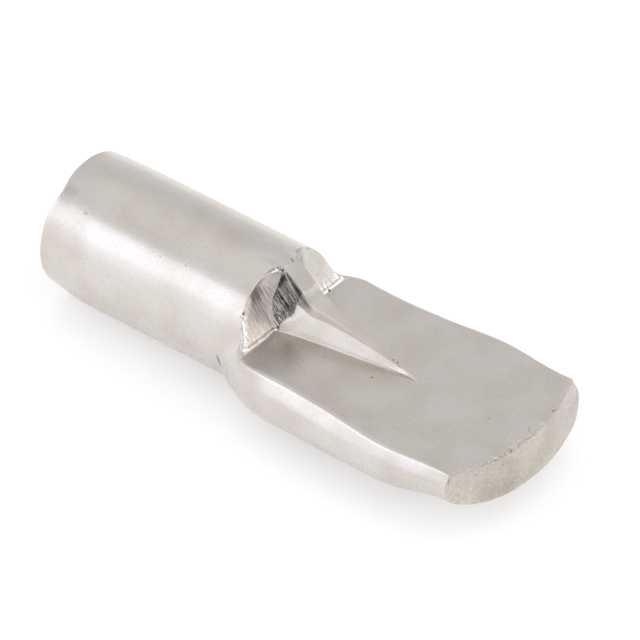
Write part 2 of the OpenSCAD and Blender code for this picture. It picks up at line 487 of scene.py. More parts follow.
@dataclass
class PinSkin:
    """The pin's one skin: the cage, its smooth surface and the burr along the tip."""

    form: PinForm
    name: str = "nickel_pin"
    # Levels of the smooth surface
    levels: int = 3
    # Places of the rings along the shank, counted from its rear end, up to the shoulder
    shank_runs: tuple[float, ...] = (0.0, 0.12, 0.45, 1.0, 1.6, 2.45, 3.4, 4.4, 5.4, 6.4, 7.1, 7.65)
    # Places of the rings along the blade, on its middle line
    blade_rows: tuple[float, ...] = (1.62, 1.95, 2.3, 2.75, 3.3, 3.9, 4.6, 5.3, 5.9, 6.3, 6.9, 7.6, 8.4,
                                     9.1, 9.7, 10.2, 10.55, 10.7)
    # Hollow turns of the rings between the wall's rim and its foot, from the top down
    turns: tuple[Turn, ...] = (
        Turn((0.8, 0.45, 2.36), (0.78, 0.55, 2.33), 5.0),
        Turn((0.93, 0.38, 2.22), (0.86, 0.52, 2.12), 6.0),
        Turn((1.09, 0.382, 2.02), (0.846, 0.6, 1.8), 8.0),
        Turn((1.24, 0.39, 1.84), (0.86, 0.68, 1.56), 8.0),
        Turn((1.36, 0.4, 1.65), (0.9, 0.745, 1.33), 8.0),
        Turn((1.45, 0.41, 1.47), (0.98, 0.79, 1.1), 6.0),
        Turn((1.51, 0.415, 1.37), (1.1, 0.79, 0.92), 3.0))
    # The last ring, which runs down the rib's lower flank, from the knee to the wall's foot
    foot_turn: tuple[Place, ...] = (
        (1.55, 0.42, 1.29), (1.535, 0.53, 1.0), (1.43, 0.655, 0.81), (1.27, 0.785, 0.65), (1.2, 0.87, 0.47))
    # Places along X of the flare's points level with the wall's rim: for the slanted column, the
    # step back from one column to the next, and the least. Then the place level with the wall's foot
    rim_flare_x: float = 0.62
    rim_flare_step: float = 0.1
    rim_flare_min: float = 0.42
    foot_flare_x: float = 1.3
    # First and last place along X of the crest's middle and edge beside the wall
    crest_runs: tuple[tuple[float, float], ...] = ((0.88, 1.78), (0.82, 1.7))
    # Where the wall's rim meets the top edge
    rim_end: Place = (0.8, 2.45, 0.5)
    # Length of the rear end's taper, how far it brings the radius down, and how far it lies off the axis
    lead_len: float = 1.6
    lead_drop: float = 0.13
    lead_shift: float = 0.05
    # Depth of the chip in the rim of the rear end, its length, its height and half the spread of that
    chip: float = 0.12
    chip_len: float = 0.5
    chip_z: float = 1.88
    chip_half: float = 0.3
    # How far the edge of a cropped end is inset, how far the face inside it shrinks, and half the
    # number of strips that it is cut into
    end_inset: float = 0.01
    end_shrink: float = 0.07
    end_strips: int = 8
    # Height of the burr along the tip's upper edge, how far from the edge it starts, the way that
    # it leans, and the place and half-length along Y of its worst stretch
    burr_height: float = 0.22
    burr_reach: float = 0.2
    burr_lean: Place = (0.4, -0.3, 0.8)
    burr_y: float = -0.5
    burr_half: float = 1.3
    # Its share of that height far from the worst stretch, and the part of the pin that is searched
    # for it, back from the tip
    burr_least: float = 0.3
    burr_zone: float = 1.5
    # How far each column of the rib runs ahead of its row's place where the rib leaves the wall,
    # and the place by which they have fallen back in line
    rib_leads: tuple[float, ...] = (0.34, 0.3, 0.2, 0.15, 0.1, 0.04, 0.0, 0.0)
    rib_lead_end: float = 2.75
    # How far the far half of the tip bulges out in each column from the slanted one to the keel,
    # and the place where the bulge begins
    far_bulges: tuple[float, ...] = (0.18, 0.29, 0.3, 0.24, 0.14, 0.06, 0.0, 0.0)
    bulge_start: float = 9.9
    # Rounds of fitting the cage, and the share of each miss that one round takes up
    fit_rounds: int = 4
    fit_share: float = 0.8

    def lead_ring(self, column: int, side: Side, x: float) -> Vector:
        """Point of one of the shank's rings. Its end was drawn in more below than above.

        Args:
            column: Column of the cage.
            side: Side of the pin.
            x: Place of the ring along the pin. The one at the shoulder follows the flare's start.

        Returns:
            The point, on its own side.
        """
        if x > -0.01 and column > Column.SLANT:
            x = min(0.0, self.form.flare_starts[column - Column.SLANT])
        run = x - self.form.rear_x
        lead = clamp(1 - run / self.lead_len) ** 1.5
        point = self.form.on_shank(column, x, self.form.shank_r - self.lead_drop * lead)
        if side == Side.NEAR:
            beside = exp(-((point.z - self.chip_z) / self.chip_half) ** 2)
            x += self.chip * clamp(1 - run / self.chip_len) * beside
        return Vector((x, side * point.y + self.lead_shift * lead, point.z + self.lead_shift * lead))

    def corner_point(self, column: int, step: int) -> Vector:
        """Point in the hollow corner between the pockets' wall and the rib.

        Args:
            column: A column from KNEE to FLANK_BOTTOM.
            step: Number of the ring, from the wall's rim to its foot.

        Returns:
            The point, on the side of positive Y.
        """
        if step == 0:
            return self.form.rim_point(column)
        if step > len(self.turns):
            return Vector(self.foot_turn[column - Column.KNEE])
        turn = self.turns[step - 1]
        start = self.form.wall_point(Column.RIB_FOOT, self.form.wall_steps[step])
        share = (Column.RIB_FOOT - column) / (Column.RIB_FOOT - Column.KNEE)
        first, middle, last = (1 - share) ** 2, 2 * turn.tightness * share * (1 - share), share ** 2
        reached = first * start + middle * Vector(turn.bend) + last * Vector(turn.end)
        return reached / (first + middle + last)

    def wall_ring(self, column: int, side: Side, step: int) -> Vector:
        """Point of one of the rings that come down the pockets' wall.

        Args:
            column: Column of the cage.
            side: Side of the pin.
            step: Number of the ring, from the wall's rim to its foot.

        Returns:
            The point, on its own side.
        """
        form = self.form
        share = form.wall_steps[step]
        if column <= Column.CREST_EDGE:
            point = form.rib_point(column, mix(*self.crest_runs[column], share))
        elif column < Column.RIB_FOOT:
            point = self.corner_point(column, step)
        elif column < Column.TOP_EDGE:
            point = form.wall_point(column, share)
        elif column == Column.TOP_EDGE:
            point = Vector(self.rim_end).lerp(Vector((form.foot_x, form.foot_outer, form.top_z)), share)
        else:
            first = max(self.rim_flare_min, self.rim_flare_x - self.rim_flare_step * (column - Column.SLANT))
            point = form.flare_point(column, mix(first, self.foot_flare_x, share), side)
        return Vector((point.x, side * point.y, point.z))

    def blade_ring(self, column: int, side: Side, x: float) -> Vector:
        """Point of the blade's ring whose middle lies at x.

        Args:
            column: Column of the cage.
            side: Side of the pin.
            x: Place of the ring on the blade's middle line.

        Returns:
            The point, on its own side.
        """
        form = self.form
        top = form.flanks[side].top.at(x)
        edge_x = form.bowed(Vector((x, top, 0)), x).x
        if column <= Column.RIB_FOOT:
            behind = clamp((self.rib_lead_end - x) / (self.rib_lead_end - self.blade_rows[0]))
            lead = behind * self.rib_leads[column]
            point = form.rib_point(column, min(x + lead, form.rib_end))
            point.x = x + lead
            point.y = max(point.y, form.spread(column, x, form.flanks[side].top.at(edge_x)))
            if column == Column.CREST:
                point.y = 0.0
        elif column <= Column.TOP_EDGE:
            point = form.blade_point(column, edge_x, side)
        else:
            point = form.flare_point(column, edge_x, side)
        point = Vector((x if column > Column.RIB_FOOT else point.x, point.y, point.z))
        point = form.bowed(point, x)
        if side == Side.FAR and column >= Column.SLANT:
            share = clamp((x - self.bulge_start) / (self.blade_rows[-1] - self.bulge_start))
            point.x += self.far_bulges[column - Column.SLANT] * share
        return Vector((point.x, side * point.y, point.z))

    def rings(self) -> list[list[Vector]]:
        """Points of every ring, from the rear end to the tip.

        Returns:
            Rings of points: the crest, the near side down, the keel, and the far side up.
        """
        form = self.form

        def closed(point_at: Callable[[Column, Side], Vector]) -> list[Vector]:
            """Points of one ring.

            Args:
                point_at: Gives the point of a column on a side.

            Returns:
                The points, in order round the ring.
            """
            near = [point_at(column, Side.NEAR) for column in Column]
            far = [point_at(column, Side.FAR) for column in reversed(Column)]
            return near + far[1:-1]

        places = [form.rear_x + run for run in self.shank_runs]
        shank = [closed(lambda column, side, x=x: self.lead_ring(column, side, x)) for x in places]
        wall = [closed(lambda column, side, step=step: self.wall_ring(column, side, step))
                for step in range(len(form.wall_steps))]
        blade = [closed(lambda column, side, x=x: self.blade_ring(column, side, x)) for x in self.blade_rows]
        return shank + wall + blade

    def build_cage(self) -> bmesh.types.BMesh:
        """Extrude the rings one after another, close both ends and crease the struck edges.

        Returns:
            The cage, in millimetres.
        """
        rings = self.rings()
        cage = bmesh.new()
        on_ring = cage.verts.layers.int.new("on_ring")
        ring = bmesh.ops.create_circle(cage, segments=len(rings[0]), radius=self.form.shank_r)["verts"]
        loops = [ring]
        for _ in rings[1:]:
            edges = [edge for edge in cage.edges if edge.verts[0] in ring and edge.verts[1] in ring]
            fresh = bmesh.ops.extrude_edge_only(cage, edges=edges)["geom"]
            born = {item for item in fresh if isinstance(item, bmesh.types.BMVert)}
            ring = [next(e.other_vert(v) for e in v.link_edges if e.other_vert(v) in born) for v in ring]
            loops.append(ring)
        for ring, points in zip(loops, rings):
            for vert, point in zip(ring, points):
                vert.co = point
        self.mark_zones(cage, loops)
        loops[0], loops[-1] = self.close_end(cage, loops[0]), self.close_end(cage, loops[-1])
        self.crease_edges(cage, loops)
        for vert in (vert for ring in loops for vert in ring):
            vert[on_ring] = 1
        bmesh.ops.recalc_face_normals(cage, faces=cage.faces)
        return cage

    def close_end(self, cage: bmesh.types.BMesh, ring: list[bmesh.types.BMVert]) -> list[bmesh.types.BMVert]:
        """Close one end with a flat cropped face, cut into strips from its upper to its lower edge.

        Args:
            cage: The cage.
            ring: Its first or last ring.

        Returns:
            The same ring, of the points that now carry the end's edge.
        """
        places = [vert.co.copy() for vert in ring]
        edges = [edge for edge in cage.edges if edge.verts[0] in ring and edge.verts[1] in ring]
        face = bmesh.ops.contextual_create(cage, geom=edges)["faces"][0]
        border = bmesh.ops.inset_region(cage, faces=[face], thickness=self.end_inset)["faces"]
        face.material_index = Zone.CROPPED
        inside = set(face.verts)
        inner, outer = [None] * len(ring), [None] * len(ring)
        for vert in inside:
            partner = next(e.other_vert(vert) for e in vert.link_edges if e.other_vert(vert) not in inside)
            i = min(range(len(ring)), key=lambda k: (places[k] - partner.co).length)
            inner[i], outer[i] = vert, partner
        middle = sum(places, Vector()) / len(places)
        for vert, place in zip(inner, places):
            vert.co = place.lerp(middle, self.end_shrink)
        for k in range(-self.end_strips, self.end_strips + 1):
            upper, lower = inner[k % len(ring)], inner[(Column.KEEL - k) % len(ring)]
            bmesh.ops.connect_verts(cage, verts=[upper, lower])
        for strip in border:
            strip.material_index = Zone.CROPPED
        return outer

    def mark_zones(self, cage: bmesh.types.BMesh, loops: list[list[bmesh.types.BMVert]]) -> None:
        """Say which faces were drawn, coined flat or sheared.

        Args:
            cage: The cage.
            loops: Its rings.
        """
        rim = len(self.shank_runs)
        foot = rim + len(self.form.wall_steps) - 1
        place = {vert: (row, min(i, len(ring) - i))
                 for row, ring in enumerate(loops) for i, vert in enumerate(ring)}
        for face in cage.faces:
            rows, columns = zip(*(place[vert] for vert in face.verts))
            if max(columns) <= Column.TOP_EDGE and min(rows) >= rim:
                sheared = max(rows) <= foot and min(columns) >= Column.CREST_EDGE
                face.material_index = Zone.SHEARED if sheared else Zone.COINED

    def crease_edges(self, cage: bmesh.types.BMesh, loops: list[list[bmesh.types.BMVert]]) -> None:
        """Crease the edges that the dies left crisp, and break the shading at the rib's near edges.

        Args:
            cage: The cage.
            loops: Its rings.
        """
        crease = cage.edges.layers.float.new("crease_edge")
        shoulder, rim = len(self.shank_runs) - 1, len(self.shank_runs)
        foot, tip = rim + len(self.form.wall_steps) - 1, len(loops) - 1
        rib_end = foot + sum(x < self.form.rib_end for x in self.blade_rows)

        def line(first: tuple[int, int], last: tuple[int, int], side: Side) -> list[bmesh.types.BMEdge]:
            """Edges of the cage from one point to another of the same ring or of the same column.

            Args:
                first: Ring and column of the first point.
                last: Ring and column of the last point.
                side: Side of the pin.

            Returns:
                The edges.
            """
            points = [loops[row][-side * column] for row in range(first[0], last[0] + 1)
                      for column in range(first[1], last[1] + 1)]
            return [cage.edges.get(pair) for pair in zip(points, points[1:])]

        # First and last point of each crease, and its weights on the near and on the far side
        creases = (
            ((0, Column.CREST), (0, Column.KEEL), 0.4, 0.4),
            ((shoulder, Column.WIDEST), (shoulder, Column.UNDER_OUTER), 0.4, 0.4),
            ((rim, Column.CREST_EDGE), (rim, Column.TOP_EDGE), 0.8, 0.8),
            ((rim, Column.TOP_EDGE), (tip, Column.TOP_EDGE), 0.5, 0.5),
            ((rim, Column.CREST_EDGE), (rib_end, Column.CREST_EDGE), 0.55, 0.3),
            ((rim, Column.KNEE), (foot, Column.KNEE), 0.45, 0.25),
            ((foot, Column.KNEE), (rib_end - 1, Column.KNEE), 0.55, 0.0),
            ((foot, Column.RIB_FOOT), (rib_end, Column.RIB_FOOT), 0.6, 0.35),
            ((foot, Column.KNEE), (foot, Column.RIB_FOOT), 0.55, 0.3),
            ((foot, Column.RIB_FOOT), (foot, Column.TOP_EDGE), 0.6, 0.6),
            ((tip, Column.CREST), (tip, Column.TOP_EDGE), 0.62, 0.62),
            ((tip, Column.TOP_EDGE), (tip, Column.KEEL), 0.5, 0.3))
        for first, last, near, far in creases:
            for side, weight in ((Side.NEAR, near), (Side.FAR, far)):
                for edge in line(first, last, side):
                    edge[crease] = weight
        for column in (Column.CREST_EDGE, Column.KNEE):
            for edge in line((rim, column), (rib_end, column), Side.NEAR):
                edge.smooth = False

    def fitted(self, cage: bmesh.types.BMesh) -> bpy.types.Object:
        """Turn the cage into an object whose smooth surface passes through the cage's own points.

        Args:
            cage: The cage, in millimetres. It is freed.

        Returns:
            The object, with its Subdivision Surface still live.
        """
        mesh = bpy.data.meshes.new(self.name)
        cage.to_mesh(mesh)
        cage.free()
        piece = bpy.data.objects.new(self.name, mesh)
        bpy.context.scene.collection.objects.link(piece)
        smooth = piece.modifiers.new("smooth", "SUBSURF")
        smooth.levels = smooth.render_levels = self.levels
        goals = [vert.co.copy() for vert in mesh.vertices]
        on_ring = [bool(item.value) for item in mesh.attributes["on_ring"].data]
        for _ in range(self.fit_rounds):
            bpy.context.view_layer.update()
            surface = piece.evaluated_get(bpy.context.evaluated_depsgraph_get()).data
            misses = [goal - surface.vertices[i].co for i, goal in enumerate(goals)]
            for vert, miss, moves in zip(mesh.vertices, misses, on_ring):
                if moves:
                    vert.co += self.fit_share * miss
            mesh.update()
        return piece

    def raise_burr(self, skin: bpy.types.Mesh) -> None:
        """Turn the blade's upper edge at the tip into the ragged burr that the cropping left.

        Args:
            skin: The pin's mesh, in millimetres.
        """
        surface = bmesh.new()
        surface.from_mesh(skin)
        torn_zones = {Zone.COINED, Zone.CROPPED}
        edges = [e for e in surface.edges if {face.material_index for face in e.link_faces} == torn_zones]
        tree = KDTree(len(edges))
        for i, edge in enumerate(edges):
            tree.insert((edge.verts[0].co + edge.verts[1].co) / 2, i)
        tree.balance()
        for vert in surface.verts:
            if vert.co.x > self.form.tip_x - self.burr_zone:
                near = clamp(1 - tree.find(vert.co)[2] / self.burr_reach)
                ragged = noise.noise(vert.co * 7.0) + 0.7 * noise.noise(vert.co * 17.0)
                torn = mix(self.burr_least, 1, exp(-((vert.co.y - self.burr_y) / self.burr_half) ** 2))
                vert.co += near * torn * self.burr_height * ragged * Vector(self.burr_lean)
        surface.to_mesh(skin)
        surface.free()

    def build(self) -> bpy.types.Object:
        """Make the finished piece in metres, with its burr.

        Returns:
            The piece, at the origin, with its place in its mesh.
        """
        piece = self.fitted(self.build_cage())
        bpy.context.view_layer.update()
        skin = bpy.data.meshes.new_from_object(piece.evaluated_get(bpy.context.evaluated_depsgraph_get()))
        piece.modifiers.clear()
        cage_mesh, piece.data = piece.data, skin
        bpy.data.meshes.remove(cage_mesh)
        skin.name = self.name
        skin.polygons.foreach_set("use_smooth", [True] * len(skin.polygons))
        self.raise_burr(skin)
        skin.transform(Matrix.Scale(MM, 4))
        return piece


def add_node(tree: Tree, kind: str, inputs: dict | None = None, **settings) -> bpy.types.Node:
    """Add a node with its settings, its values and its links.

    Args:
        tree: Node tree that gets the node.
        kind: Type of the node.
        inputs: Value or output socket for each input, by the input's name or number.
        **settings: Properties of the node.

    Returns:
        The node.
    """
    node = tree.nodes.new(kind)
    for key, value in settings.items():
        setattr(node, key, value)
    for key, value in (inputs or {}).items():
        if isinstance(value, Socket):
            tree.links.new(value, node.inputs[key])
        else:
            node.inputs[key].default_value = value
    return node


def blank_material(name: str) -> tuple[bpy.types.Material, Tree]:
    """Make a material with an empty node tree.

    Args:
        name: Name of the material.

    Returns:
        The material and its node tree.
    """
    material = bpy.data.materials.new(name)
    material.use_nodes = True
    material.node_tree.nodes.clear()
    return material, material.node_tree


def add_math(tree: Tree, operation: str, *values: Socket | float) -> Socket:
    """Result of a Math node, whose inputs are sockets or numbers."""
    return add_node(tree, "ShaderNodeMath", dict(enumerate(values)), operation=operation).outputs[0]


def add_range(tree: Tree, value: Socket, first: float, last: float, low: float = 0.0, high: float = 1.0
              ) -> Socket:
    """Value mapped from one range, first to last, to another, low to high."""
    return add_node(tree, "ShaderNodeMapRange", {"Value": value, "From Min": first, "From Max": last,
                                                 "To Min": low, "To Max": high}).outputs[0]


def add_noise(tree: Tree, place: Socket, size: float, detail: float) -> Socket:
    """Noise from 0 to 1, with features of the given size."""
    inputs = {"Vector": place, "Scale": 1 / size, "Detail": detail}
    return add_node(tree, "ShaderNodeTexNoise", inputs).outputs[0]


def add_mix(tree: Tree, share: Socket, first: Socket | str, second: str) -> Socket:
    """Mix two colours.

    Args:
        tree: Node tree to add to.
        share: Share of the second colour.
        first: The first colour, as a socket or as six hex digits.
        second: The second colour, as six hex digits.

    Returns:
        Socket with the colour between them.
    """
    start = linear_colour(first) if isinstance(first, str) else first
    return add_node(tree, "ShaderNodeMix", {"Factor": share, 6: start, 7: linear_colour(second)},
                    data_type="RGBA").outputs[2]


@dataclass(frozen=True)
class Mark:
    """Dark mark: a nick, a pinhole, a scratch or a stain in the plating, or a patch of painted shade."""

    # Its middle, half its length and width in millimetres, and the direction of its length
    at: Place
    size: tuple[float, float] = (0.05, 0.04)
    along: Place = (1.0, 0.0, 0.0)
    # How dark it is, from 0 to 1
    depth: float = 0.7

    def mask(self, tree: Tree, mm: Socket) -> Socket:
        """Where the mark is.

        Args:
            tree: Node tree to add to.
            mm: Place in millimetres.

        Returns:
            Socket that is `depth` inside the mark and 0 outside.
        """
        length, width = self.size
        turn = Vector(self.along).to_track_quat("X", "Z").to_euler()
        own = add_node(tree, "ShaderNodeMapping", {"Vector": mm, "Location": self.at, "Rotation": turn,
                                                   "Scale": (length, width, width)}, vector_type="TEXTURE")
        reach = add_node(tree, "ShaderNodeVectorMath", {0: own.outputs[0]}, operation="LENGTH")
        return add_range(tree, reach.outputs["Value"], 0.5, 1.1, self.depth, 0.0)


MARKS = (
    # Pinholes and a stain on the shank
    Mark((-3.04, -1.79, 1.74), (0.05, 0.035), depth=0.5),
    Mark((-3.36, -1.78, 1.76), (0.04, 0.03), depth=0.35),
    Mark((-2.06, -1.72, 1.82), (0.045, 0.03), depth=0.45),
    Mark((-6.29, -1.68, 1.84), (0.1, 0.07), depth=0.3),
    Mark((-7.27, -1.27, 2.06), (0.4, 0.22), depth=0.1),
    # Nicks along the pockets' rim and at the far flare
    Mark((0.86, 0.15, 2.4), (0.16, 0.035), (0.32, -0.15, -0.05), 0.6),
    Mark((0.62, -2.06, 1.4), (0.07, 0.05), (0.3, -0.1, -1.0)),
    Mark((0.57, -2.14, 1.26), (0.09, 0.03), (0.2, -0.3, -1.0), 0.6),
    Mark((1.17, 1.84, 0.35), (0.09, 0.05), (0.8, 0.6, 0.0), 0.9),
    # Painted dark reflections and shade high in the pocket, on the rib's facet and at the foot of the
    # deep tears
    Mark((0.6, -1.32, 1.76), (0.4, 0.26), (0.0, 1.0, 0.25), 0.26),
    Mark((1.68, -0.38, 1.65), (0.55, 0.15), (0.78, 0.0, -0.62), 0.42),
    Mark((1.37, -0.58, 1.08), (0.32, 0.2), (0.4, 0.0, -0.9), 0.42),
    # Painted shadow along the crease where the flare folds out of the shank
    Mark((0.0, -2.43, -0.66), (0.36, 0.07), (0.14, 0.1, -0.35), 0.9),
    Mark((0.1, -2.18, -1.25), (0.3, 0.055), (0.15, 0.17, -0.3), 0.9),
    # Nicks on the rib's crest close to its end
    Mark((5.18, 0.0, 0.6), (0.06, 0.03), (0.6, -0.6, 0.0)),
    Mark((5.33, 0.03, 0.56), (0.05, 0.035), (0.3, 1.0, 0.0), 0.8),
    Mark((5.46, -0.04, 0.53), (0.06, 0.025), (1.0, -0.3, 0.0), 0.6),
    # Pinholes and a scratch on the blade
    Mark((4.99, -0.88, 0.32), (0.05, 0.035)),
    Mark((9.1, -0.12, 0.32), (0.08, 0.025), (0.76, 0.65, 0.0), 0.55),
    Mark((10.44, 1.57, 0.32), (0.07, 0.05), (0.5, 0.8, 0.0)),
    Mark((10.42, 0.27, 0.32), (0.23, 0.018), (0.53, -0.85, 0.0), 0.55),
    # Dark lines down the near corner of the tip, where the blade's flank meets the cropped end
    Mark((9.91, -3.29, 0.1), (0.26, 0.03), (0.0, 0.0, 1.0), 0.6),
    Mark((9.94, -3.24, -0.4), (0.28, 0.025), (0.06, 0.1, -1.0), 0.4),
    Mark((10.05, -3.0, -0.8), (0.2, 0.025), (0.35, 0.6, -0.75), 0.35),
)


@dataclass(frozen=True)
class NickelFinish:
    """Bright nickel plated on steel, over the relief that one way of forming left in the steel."""

    name: str
    # Colour of the plating, of the patches where it is thinner or stained, and of the dark marks,
    # specks and painted shade
    colour: str = "d8d2cd"
    stain: str = "cbc4ba"
    dirt_and_shade: str = "2c2722"
    roughness: float = 0.27
    roughness_spread: float = 0.08
    # Size and depth, in millimetres, of the fine grain and of the slow waves of the surface
    grain: float = 0.11
    grain_depth: float = 0.0015
    wave: float = 0.9
    wave_depth: float = 0.003
    # How much darker these are, from 0 to 1: painted shade in the bottoms of the grain and of the
    # streaks, dark deep tears and painted shade beside the rib, and tiny specks
    grain_shade: float = 0.0
    streak_shade: float = 0.0
    tear_shade: float = 0.0
    speck_shade: float = 0.12
    # Size of the specks in millimetres, the share of the noise above which there is one, and how
    # much further it rises to the speck's middle
    speck: float = 0.075
    speck_share: float = 0.64
    speck_rise: float = 0.06
    # Size of the patches of another tint, and how often and how far the marks' edges waver
    patch: float = 1.6
    ripple_rate: float = 12.0
    ripple: float = 0.06
    # Width and depth of the streaks that the punch tears down the steel, the way across them, and
    # the way down them, whose length is how fast they change
    streak: float = 0.09
    streak_depth: float = 0.0
    streak_across: Place = (0.48, 1.0, 0.51)
    streak_down: Place = (0.0, 0.0, 0.9)
    # Heights, measured that way, from which and to which the streaks grow deeper, their share of
    # the depth at each of those, and the heights between which they fade out above the wall's foot
    streak_heights: tuple[float, float] = (1.9, 0.6)
    streak_shares: tuple[float, float] = (0.25, 1.25)
    streak_fade: tuple[float, float] = (0.31, 0.42)
    # Distances from the pin's middle plane at which the dark deep tears and painted shade beside the
    # rib begin and are at their darkest
    tear_and_shade_reach: tuple[float, float] = (1.25, 0.85)

    def build(self) -> bpy.types.Material:
        """Make the material.

        Returns:
            The material, which reads Object coordinates.
        """
        material, tree = blank_material(self.name)
        place = add_node(tree, "ShaderNodeTexCoord").outputs["Object"]
        mm = add_node(tree, "ShaderNodeVectorMath", {0: place, "Scale": 1 / MM}, operation="SCALE").outputs[0]
        grain = add_noise(tree, mm, self.grain, 3.0)
        layers = [(grain, self.grain_depth), (add_noise(tree, mm, self.wave, 2.0), self.wave_depth)]
        shades = [(self.marked(tree, mm), 1.0), (self.specks(tree, mm), self.speck_shade)]
        # Painted shade in the bottoms of the grain
        if self.grain_shade:
            shades.append((self.low_parts(tree, grain), self.grain_shade))
        if self.streak_depth:
            streaks = self.streaks(tree, mm)
            layers.append((streaks, self.streak_depth))
            # Painted shade in the bottoms of the streaks
            shades.append((self.low_parts(tree, streaks), self.streak_shade))
            # Beside the rib: dark deep tears, and painted shade and dark reflection
            shades.append((self.torn(tree, mm, streaks), self.tear_shade))
        height = self.total(tree, layers)
        stained = add_range(tree, add_noise(tree, mm, self.patch, 3.0), 0.4, 0.75)
        clean = add_mix(tree, stained, self.colour, self.stain)
        # Marks, specks and painted shade darken the colour
        colour = add_mix(tree, self.total(tree, shades), clean, self.dirt_and_shade)
        spread = self.roughness_spread / 2
        gloss = add_range(tree, grain, 0.3, 0.7, self.roughness - spread, self.roughness + spread)
        bump = add_node(tree, "ShaderNodeBump", {"Height": height, "Distance": MM, "Strength": 1.0})
        shader = add_node(tree, "ShaderNodeBsdfPrincipled", {
            "Base Color": colour, "Metallic": 1.0, "Roughness": gloss, "Normal": bump.outputs[0]})
        add_node(tree, "ShaderNodeOutputMaterial", {"Surface": shader.outputs[0]})
        return material

    def total(self, tree: Tree, layers: list[tuple[Socket, float]]) -> Socket:
        """Add up layers of relief, or of darkening by marks, specks and painted shade.

        Args:
            tree: Node tree to add to.
            layers: Pattern and strength of each layer.

        Returns:
            Socket with the sum.
        """
        height: Socket | float = 0.0
        for pattern, depth in layers:
            height = add_math(tree, "MULTIPLY_ADD", pattern, depth, height)
        return height

    def marked(self, tree: Tree, mm: Socket) -> Socket:
        """Where the dark marks are, with edges that waver.

        Args:
            tree: Node tree to add to.
            mm: Place in millimetres.

        Returns:
            Socket that is 0 away from the marks.
        """
        inputs = {"Vector": mm, "Scale": self.ripple_rate, "Detail": 1.0}
        ripple = add_node(tree, "ShaderNodeTexNoise", inputs).outputs["Color"]
        inputs = {0: ripple, 1: (self.ripple,) * 3, 2: (-self.ripple / 2,) * 3}
        shift = add_node(tree, "ShaderNodeVectorMath", inputs, operation="MULTIPLY_ADD").outputs[0]
        ragged = add_node(tree, "ShaderNodeVectorMath", {0: mm, 1: shift}, operation="ADD").outputs[0]
        covered: Socket | float = 0.0
        for mark in MARKS:
            covered = add_math(tree, "MAXIMUM", mark.mask(tree, ragged), covered)
        return covered

    def specks(self, tree: Tree, mm: Socket) -> Socket:
        """Scattered tiny specks, as a socket that is 1 in a speck."""
        pattern = add_noise(tree, mm, self.speck, 1.0)
        return add_range(tree, pattern, self.speck_share, self.speck_share + self.speck_rise)

    def low_parts(self, tree: Tree, pattern: Socket) -> Socket:
        """Turn a pattern of relief into a mask that is 1 at its bottom and 0 at its top."""
        return add_range(tree, pattern, 0.62, 0.38)

    def torn(self, tree: Tree, mm: Socket, streaks: Socket) -> Socket:
        """Where the streaks beside the rib are dark in their bottoms: partly tears too deep for the plating,
        partly painted shade and dark reflection.

        Args:
            tree: Node tree to add to.
            mm: Place in millimetres.
            streaks: Relief of the streaks.

        Returns:
            Socket that is 1 in the dark streak bottoms beside the rib.
        """
        y = add_node(tree, "ShaderNodeSeparateXYZ", {0: mm}).outputs["Y"]
        beside = add_range(tree, add_math(tree, "ABSOLUTE", y), *self.tear_and_shade_reach)
        return add_math(tree, "MULTIPLY", self.low_parts(tree, streaks), beside)

    def streaks(self, tree: Tree, mm: Socket) -> Socket:
        """Streaks down the pockets' walls, which lean towards positive Y and grow deeper on the way down.

        Args:
            tree: Node tree to add to.
            mm: Place in millimetres.

        Returns:
            Socket with their relief.
        """
        across, down = (
            add_node(tree, "ShaderNodeVectorMath", {0: mm, 1: way}, operation="DOT_PRODUCT").outputs["Value"]
            for way in (self.streak_across, self.streak_down))
        line = add_math(tree, "MULTIPLY", across, 1 / self.streak)
        key = add_node(tree, "ShaderNodeCombineXYZ", {0: line, 1: down}).outputs[0]
        deeper = add_range(tree, down, *self.streak_heights, *self.streak_shares)
        depth = add_math(tree, "MULTIPLY", add_range(tree, down, *self.streak_fade), deeper)
        return add_math(tree, "MULTIPLY", add_noise(tree, key, 1.0, 3.0), depth)


FINISHES = {
    # Steel wire drawn through a die and then plated: almost smooth, with a soft satin shine
    Zone.DRAWN: NickelFinish("drawn_nickel"),
    # Steel struck flat between dies and then plated: flat, a little duller and mottled
    Zone.COINED: NickelFinish("coined_nickel", roughness=0.3),
    # Steel torn down by the punch and then plated: streaked along the punch's travel, with painted
    # shade in the streaks' bottoms, and dark deep tears and painted shade beside the rib
    Zone.SHEARED: NickelFinish("sheared_nickel", colour="dcd8d6", roughness=0.2, streak_depth=0.045,
                               streak_shade=0.1, tear_shade=0.28),
    # Steel cropped off and then plated: broken, rough and matt, with painted shade in its grain's bottoms
    Zone.CROPPED: NickelFinish("cropped_nickel", colour="d3ccc2", stain="bdb5aa", roughness=0.36,
                               grain_depth=0.022, wave=0.3, wave_depth=0.03, grain_shade=0.16,
                               speck_share=0.6),
}


@dataclass(frozen=True)
class Panel:
    """Black panel that stands or lies on the table, in metres from the pin's middle."""

    # Left and right end of its foot, and the way from the foot to the far edge
    left: tuple[float, float]
    right: tuple[float, float]
    leaf: Place


@dataclass(frozen=True)
class Softbox:
    """Lamp with a rectangular face, turned towards the pin."""

    name: str
    # Its direction from the pin and its height above the horizon, in degrees
    azimuth: float
    elevation: float
    # Angles that it spans, seen from the pin, across and up
    size: tuple[float, float]
    # How bright its face looks, where 1 is white, and its colour
    radiance: float
    tint: Place


